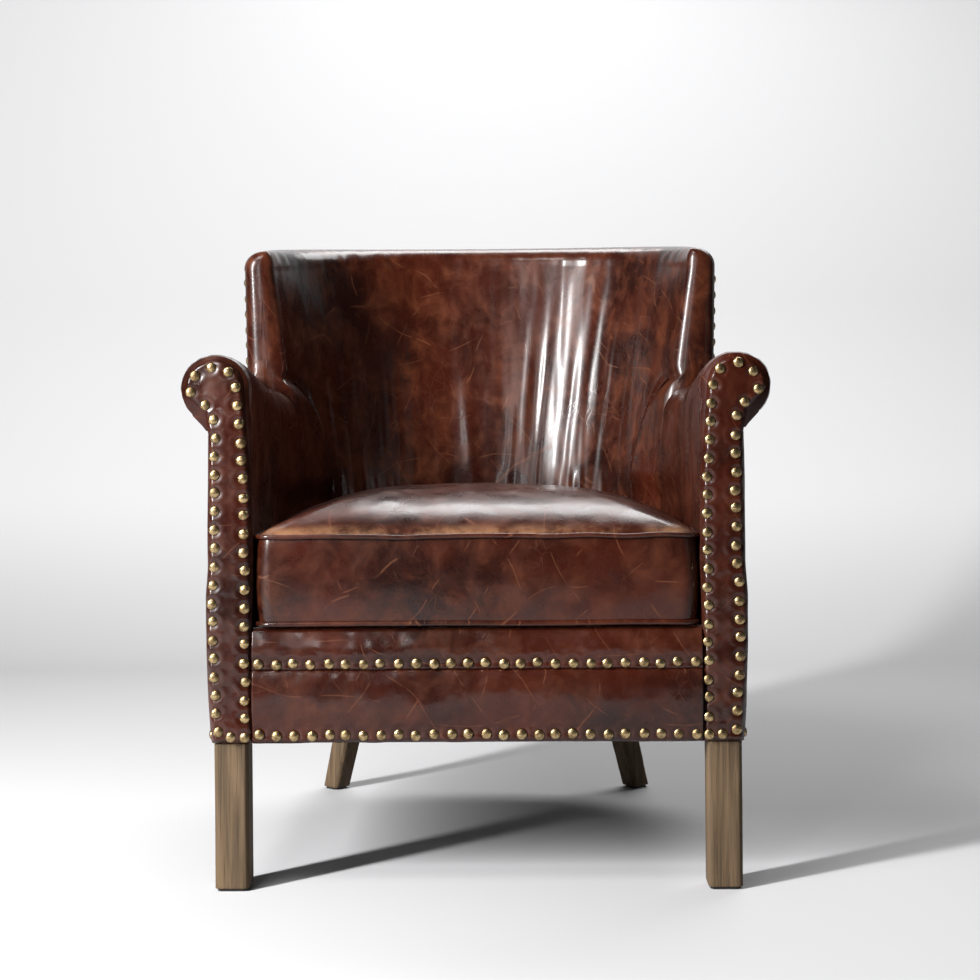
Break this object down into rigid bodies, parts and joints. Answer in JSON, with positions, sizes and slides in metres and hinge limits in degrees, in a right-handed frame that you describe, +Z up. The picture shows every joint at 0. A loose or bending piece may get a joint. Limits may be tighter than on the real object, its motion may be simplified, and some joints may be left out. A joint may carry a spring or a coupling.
{
  "type": "worn club chair",
  "caption": "Low wing-backed club chair with rolled arms, a loose box cushion, nailed leather covers and plain wooden legs.",
  "frame": {"origin": "on the floor under the middle of the chair's bounding box", "axes": "+Z up, -Y towards the front of the chair, +X to the right as seen from the front"},
  "size_m": [0.7362, 0.7208, 0.8427],
  "materials": {
    "worn_leather": "waxed, creased and scuffed",
    "weathered_oak": "wire-brushed, matt",
    "brass_nails": "aged, domed",
    "frame_beech": "plain sawn",
    "webbing": "woven jute",
    "deck_felt": "needled felt",
    "dust_cloth": "thin black cloth",
    "bolt_steel": "zinc plated",
    "glide_plastic": "matt"
  },
  "bodies": {
    "root": {"arm_facing_left": "worn_leather", "arm_facing_right": "worn_leather", "arm_pad_left": "worn_leather", "arm_pad_right": "worn_leather", "arm_post_left": "frame_beech", "arm_post_right": "frame_beech", "arm_rail_left": "frame_beech", "arm_rail_right": "frame_beech", "back_stile_left": "frame_beech", "back_stile_right": "frame_beech", "back_top_rail": "frame_beech", "back_web_1": "webbing", "back_web_2": "webbing", "corner_block_front_left": "frame_beech", "corner_block_front_right": "frame_beech", "corner_block_rear_left": "frame_beech", "corner_block_rear_right": "frame_beech", "dust_cover": "dust_cloth", "front_band": "worn_leather", "front_border": "worn_leather", "glide_front_left": "glide_plastic", "glide_front_right": "glide_plastic", "glide_rear_left": "glide_plastic", "glide_rear_right": "glide_plastic", "hanger_bolt_front_left": "bolt_steel", "hanger_bolt_front_right": "bolt_steel", "hanger_bolt_rear_left": "bolt_steel", "hanger_bolt_rear_right": "bolt_steel", "inside_back": "worn_leather", "leg_front_left": "weathered_oak", "leg_front_right": "weathered_oak", "leg_rear_left": "weathered_oak", "leg_rear_right": "weathered_oak", "outside_arm_left": "worn_leather", "outside_arm_right": "worn_leather", "outside_back": "worn_leather", "outside_wing_left": "worn_leather", "outside_wing_right": "worn_leather", "seat_cushion": "worn_leather", "seat_deck": "deck_felt", "seat_rail_front": "frame_beech", "seat_rail_left": "frame_beech", "seat_rail_rear": "frame_beech", "seat_rail_right": "frame_beech", "seat_web_cross_1": "webbing", "seat_web_cross_2": "webbing", "seat_web_cross_3": "webbing", "seat_web_cross_4": "webbing", "seat_web_long_1": "webbing", "seat_web_long_2": "webbing", "seat_web_long_3": "webbing", "wing_stile_left": "frame_beech", "wing_stile_right": "frame_beech"}
  },
  "joints": []
}
